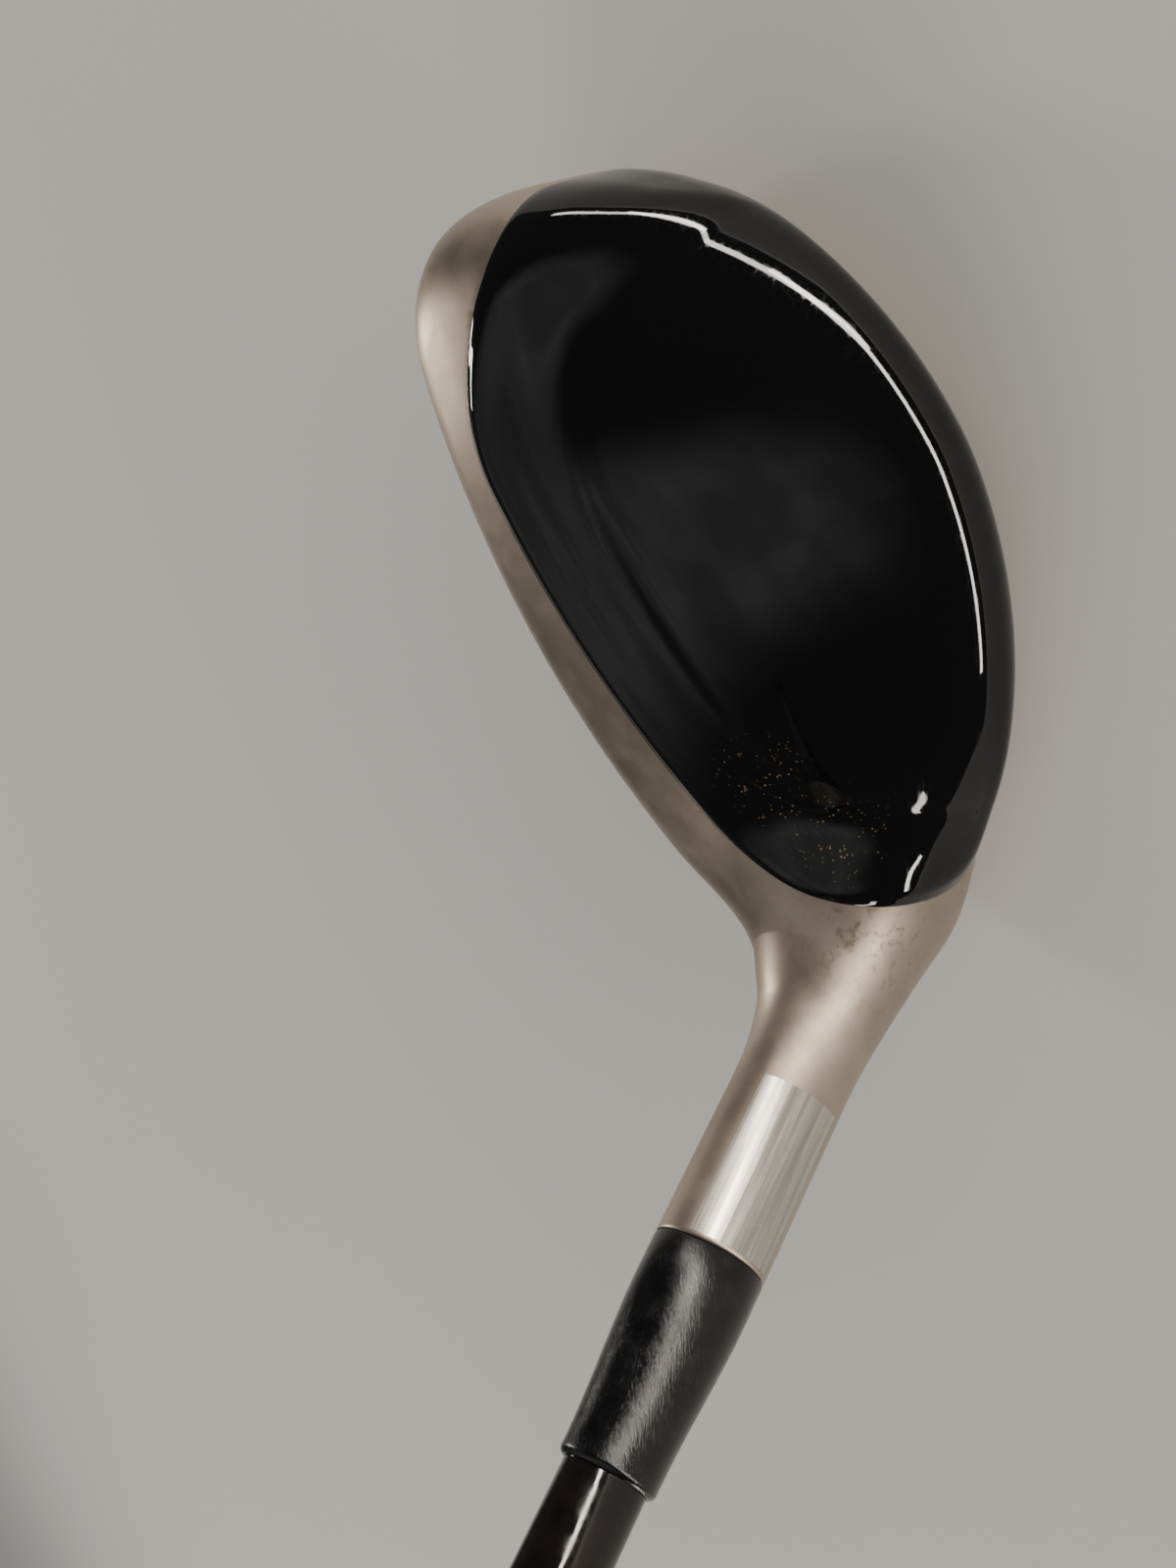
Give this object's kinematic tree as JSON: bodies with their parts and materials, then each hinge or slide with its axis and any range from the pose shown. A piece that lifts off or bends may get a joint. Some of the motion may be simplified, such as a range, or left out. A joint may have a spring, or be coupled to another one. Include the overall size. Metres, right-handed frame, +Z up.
{
  "type": "hybrid golf club",
  "caption": "Right-handed hybrid golf club with a rounded hollow metal head, black crown, satin hosel, ferrule, tapered shaft and rubber grip.",
  "frame": {"origin": "the point of the sole plate that touches the ground when the club is held at address, under the middle of the face", "axes": "+X towards the toe, +Y towards the target, +Z up; the shaft rises at the lie angle in the XZ plane towards -X"},
  "size_m": [0.6063, 0.0654, 0.8865],
  "materials": {
    "satin_pewter_steel": "satin",
    "blasted_face_steel": "bead blasted",
    "gloss_black_enamel": "gloss",
    "brushed_sole_steel": "brushed",
    "clear_adhesive": "cured",
    "dark_tungsten": "turned",
    "black_nylon": "matt",
    "amber_gum": "gloss",
    "turned_brass": "turned",
    "black_ferrule_plastic": "semi-gloss",
    "black_graphite_lacquer": "gloss",
    "dark_red_paint": "gloss",
    "silver_label_film": "glossy film",
    "paper_tape": "matt",
    "black_grip_rubber": "matt, textured",
    "black_cap_rubber": "matt"
  },
  "bodies": {
    "root": {"head_body": "satin_pewter_steel", "face_plate": "blasted_face_steel", "crown_plate": "gloss_black_enamel", "sole_plate": "brushed_sole_steel", "sole_plate_bond": "clear_adhesive", "rear_weight": "dark_tungsten", "rear_weight_seal": "black_nylon", "tungsten_bar": "dark_tungsten", "damping_gum": "amber_gum", "hosel_bond": "clear_adhesive", "tip_plug": "turned_brass", "ferrule": "black_ferrule_plastic", "shaft": "black_graphite_lacquer", "shaft_band": "dark_red_paint", "hosel_label": "silver_label_film", "grip_tape": "paper_tape", "grip": "black_grip_rubber", "grip_cap": "black_cap_rubber"}
  },
  "joints": []
}
